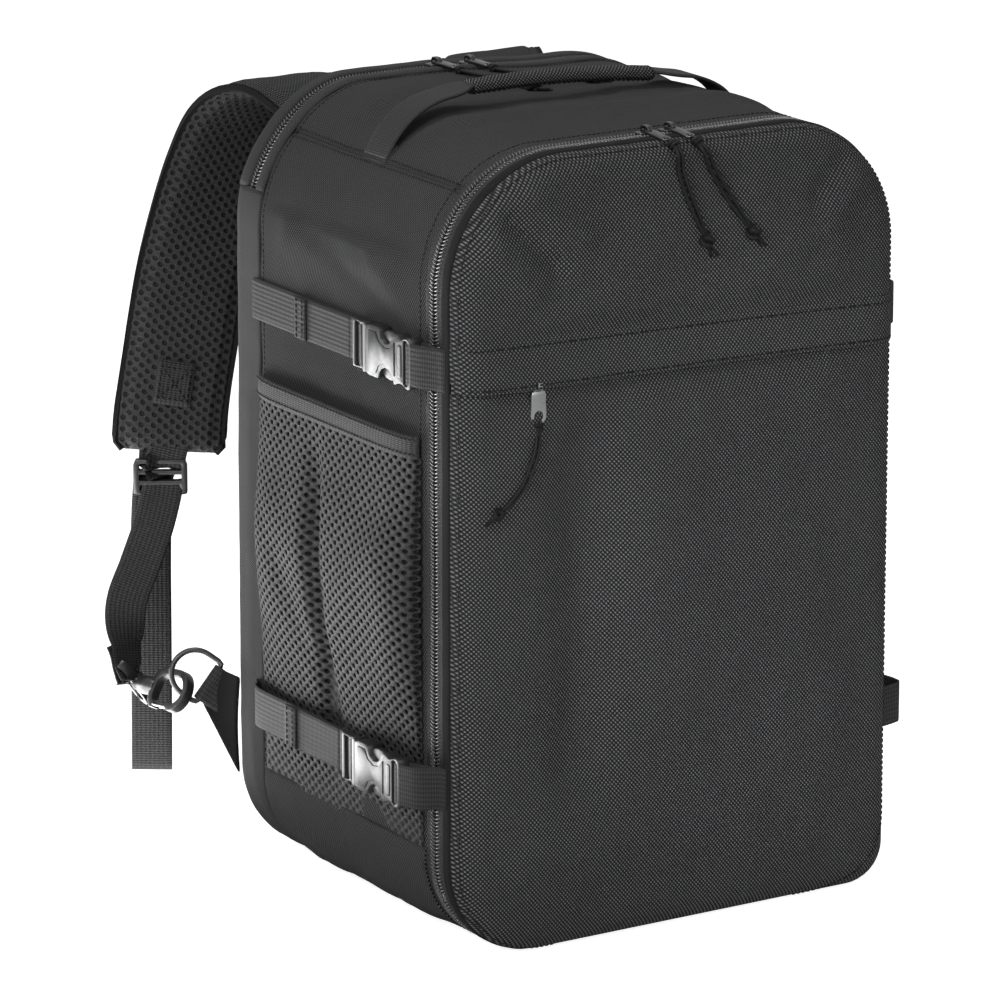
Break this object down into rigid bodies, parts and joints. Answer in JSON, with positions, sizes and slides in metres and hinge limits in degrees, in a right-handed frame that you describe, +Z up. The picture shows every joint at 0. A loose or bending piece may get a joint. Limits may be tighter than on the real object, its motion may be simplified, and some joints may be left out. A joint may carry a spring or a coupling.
{
  "type": "travel backpack",
  "caption": "Upright clamshell travel backpack with front pocket, mesh side pockets, compression buckles, top handle and clip-off padded shoulder straps.",
  "frame": {"origin": "on the base plane, under the middle of the bag; the zip line lies at y = -0.090", "axes": "+Z up, -Y the front with the lid, +X to the right seen from the front"},
  "size_m": [0.3862, 0.3928, 0.4855],
  "materials": {
    "body_fabric": "fine diagonal polyester twill, matt black",
    "trim_fabric": "herringbone binding and plain polyester",
    "spacer_mesh": "knitted spacer mesh with oval holes",
    "strap_pad": "padded spacer mesh over foam, plain outer face",
    "lining": "plain grey lining",
    "stiffener": "thin plastic sheet",
    "zip_coil": "black nylon coil on woven tape",
    "webbing": "ribbed polyester webbing",
    "handle_fabric": "twill sewn round a cord",
    "pull_cord": "braided black cord",
    "zip_metal": "glossy black paint",
    "bright_metal": "satin grey metal",
    "buckle_plastic": "satin black acetal"
  },
  "bodies": {
    "root": {"left_side_panel": "body_fabric", "right_side_panel": "body_fabric", "top_panel": "body_fabric", "bottom_panel": "body_fabric", "rear_gusset": "trim_fabric", "back_panel": "trim_fabric", "back_pads": "spacer_mesh", "frame_sheet": "stiffener", "divider": "lining", "base_board": "stiffener", "left_mesh_pocket": "spacer_mesh", "right_mesh_pocket": "spacer_mesh", "pocket_bindings": "trim_fabric", "main_zip_rear": "zip_coil", "laptop_zip": "zip_coil", "compression_straps": "webbing", "shoulder_pads": "strap_pad", "shoulder_webbing": "webbing", "ladder_locks": "buckle_plastic", "hook_eyes": "buckle_plastic", "d_rings": "buckle_plastic", "d_ring_tabs": "body_fabric"},
    "lid": {"main_zip_front": "zip_coil", "lid_gusset": "trim_fabric", "front_panel": "body_fabric", "pocket_panel": "body_fabric", "pocket_zip": "zip_coil", "lid_lining": "lining", "buckle_sockets": "buckle_plastic", "buckle_loops": "webbing", "zip_flap": "body_fabric"},
    "left_upper_clip": {"left_upper_frame": "buckle_plastic", "left_upper_prongs": "buckle_plastic"},
    "right_upper_clip": {"right_upper_frame": "buckle_plastic", "right_upper_prongs": "buckle_plastic"},
    "left_lower_clip": {"left_lower_frame": "buckle_plastic", "left_lower_prongs": "buckle_plastic"},
    "right_lower_clip": {"right_lower_frame": "buckle_plastic", "right_lower_prongs": "buckle_plastic"},
    "main_left_zip_slider": {"main_left_slider": "zip_metal"},
    "main_left_pull": {"main_left_puller": "zip_metal", "main_left_cord": "pull_cord"},
    "main_right_zip_slider": {"main_right_slider": "zip_metal"},
    "main_right_pull": {"main_right_puller": "zip_metal", "main_right_cord": "pull_cord"},
    "laptop_left_zip_slider": {"laptop_left_slider": "zip_metal"},
    "laptop_left_pull": {"laptop_left_puller": "zip_metal", "laptop_left_cord": "pull_cord"},
    "laptop_right_zip_slider": {"laptop_right_slider": "zip_metal"},
    "laptop_right_pull": {"laptop_right_puller": "zip_metal", "laptop_right_cord": "pull_cord"},
    "pocket_zip_slider": {"pocket_slider": "zip_metal"},
    "pocket_pull": {"pocket_puller": "bright_metal", "pocket_cord": "pull_cord"},
    "left_hook_body": {"left_hook": "buckle_plastic"},
    "left_hook_gate": {"left_gate": "bright_metal"},
    "right_hook_body": {"right_hook": "buckle_plastic"},
    "right_hook_gate": {"right_gate": "bright_metal"},
    "handle": {"handle_grip": "handle_fabric", "handle_webbing": "webbing"}
  },
  "joints": [
    {"name": "lid_open", "type": "hinge", "parent": "root", "child": "lid", "pos_m": [0, -0.09, 0], "axis": [1, 0, 0], "range_deg": [0, 75], "deforming": ["left_upper_prongs", "right_upper_prongs", "left_lower_prongs", "right_lower_prongs"]},
    {"name": "left_upper_release", "type": "slide", "parent": "root", "child": "left_upper_clip", "axis": [0, 1, 0], "range_m": [0, 0.034], "deforming": ["left_upper_prongs", "compression_straps"]},
    {"name": "right_upper_release", "type": "slide", "parent": "root", "child": "right_upper_clip", "axis": [0, 1, 0], "range_m": [0, 0.034], "deforming": ["right_upper_prongs", "compression_straps"]},
    {"name": "left_lower_release", "type": "slide", "parent": "root", "child": "left_lower_clip", "axis": [0, 1, 0], "range_m": [0, 0.034], "deforming": ["left_lower_prongs", "compression_straps"]},
    {"name": "right_lower_release", "type": "slide", "parent": "root", "child": "right_lower_clip", "axis": [0, 1, 0], "range_m": [0, 0.034], "deforming": ["right_lower_prongs", "compression_straps"]},
    {"name": "main_left_zip_run", "type": "slide", "parent": "lid", "child": "main_left_zip_slider", "axis": [-1, 0, 0], "range_m": [0, 0.058]},
    {"name": "main_right_zip_run", "type": "slide", "parent": "lid", "child": "main_right_zip_slider", "axis": [1, 0, 0], "range_m": [0, 0.058]},
    {"name": "laptop_left_zip_run", "type": "slide", "parent": "root", "child": "laptop_left_zip_slider", "axis": [-1, 0, 0], "range_m": [0, 0.045]},
    {"name": "laptop_right_zip_run", "type": "slide", "parent": "root", "child": "laptop_right_zip_slider", "axis": [1, 0, 0], "range_m": [0, 0.06]},
    {"name": "pocket_zip_run", "type": "slide", "parent": "lid", "child": "pocket_zip_slider", "axis": [1, 0, 0], "range_m": [0, 0.2]},
    {"name": "main_left_pull_lift", "type": "hinge", "parent": "main_left_zip_slider", "child": "main_left_pull", "pos_m": [-0.008, -0.09, 0.4703], "axis": [-1, 0, 0], "range_deg": [0, 95]},
    {"name": "main_right_pull_lift", "type": "hinge", "parent": "main_right_zip_slider", "child": "main_right_pull", "pos_m": [0.008, -0.09, 0.4703], "axis": [-1, 0, 0], "range_deg": [0, 95]},
    {"name": "laptop_left_pull_lift", "type": "hinge", "parent": "laptop_left_zip_slider", "child": "laptop_left_pull", "pos_m": [-0.02, 0.118, 0.4703], "axis": [-1, 0, 0], "range_deg": [0, 95]},
    {"name": "laptop_right_pull_lift", "type": "hinge", "parent": "laptop_right_zip_slider", "child": "laptop_right_pull", "pos_m": [0.003, 0.118, 0.4703], "axis": [-1, 0, 0], "range_deg": [0, 95]},
    {"name": "pocket_pull_lift", "type": "hinge", "parent": "pocket_zip_slider", "child": "pocket_pull", "pos_m": [-0.101, -0.1223, 0.341], "axis": [-1, 0, 0], "range_deg": [0, 30]},
    {"name": "left_hook_swivel", "type": "hinge", "parent": "root", "child": "left_hook_body", "pos_m": [-0.1806, 0.2102, 0.0933], "axis": [0.0901, -0.9899, 0.1097], "range_deg": [-12, 12]},
    {"name": "left_gate_press", "type": "hinge", "parent": "left_hook_body", "child": "left_hook_gate", "pos_m": [-0.18317, 0.17959, 0.08719], "axis": [-0.8708, -0.0248, 0.491], "range_deg": [0, 20], "stiffness_Nm_per_rad": 0.02},
    {"name": "right_hook_swivel", "type": "hinge", "parent": "root", "child": "right_hook_body", "pos_m": [0.1806, 0.2102, 0.0933], "axis": [-0.0901, -0.9899, 0.1097], "range_deg": [-12, 12]},
    {"name": "right_gate_press", "type": "hinge", "parent": "right_hook_body", "child": "right_hook_gate", "pos_m": [0.18317, 0.17959, 0.08719], "axis": [-0.8708, 0.0248, -0.491], "range_deg": [0, 20], "stiffness_Nm_per_rad": 0.02},
    {"name": "handle_lift", "type": "slide", "parent": "root", "child": "handle", "axis": [0, 0, 1], "range_m": [0, 0.015], "deforming": ["handle_webbing"]}
  ]
}
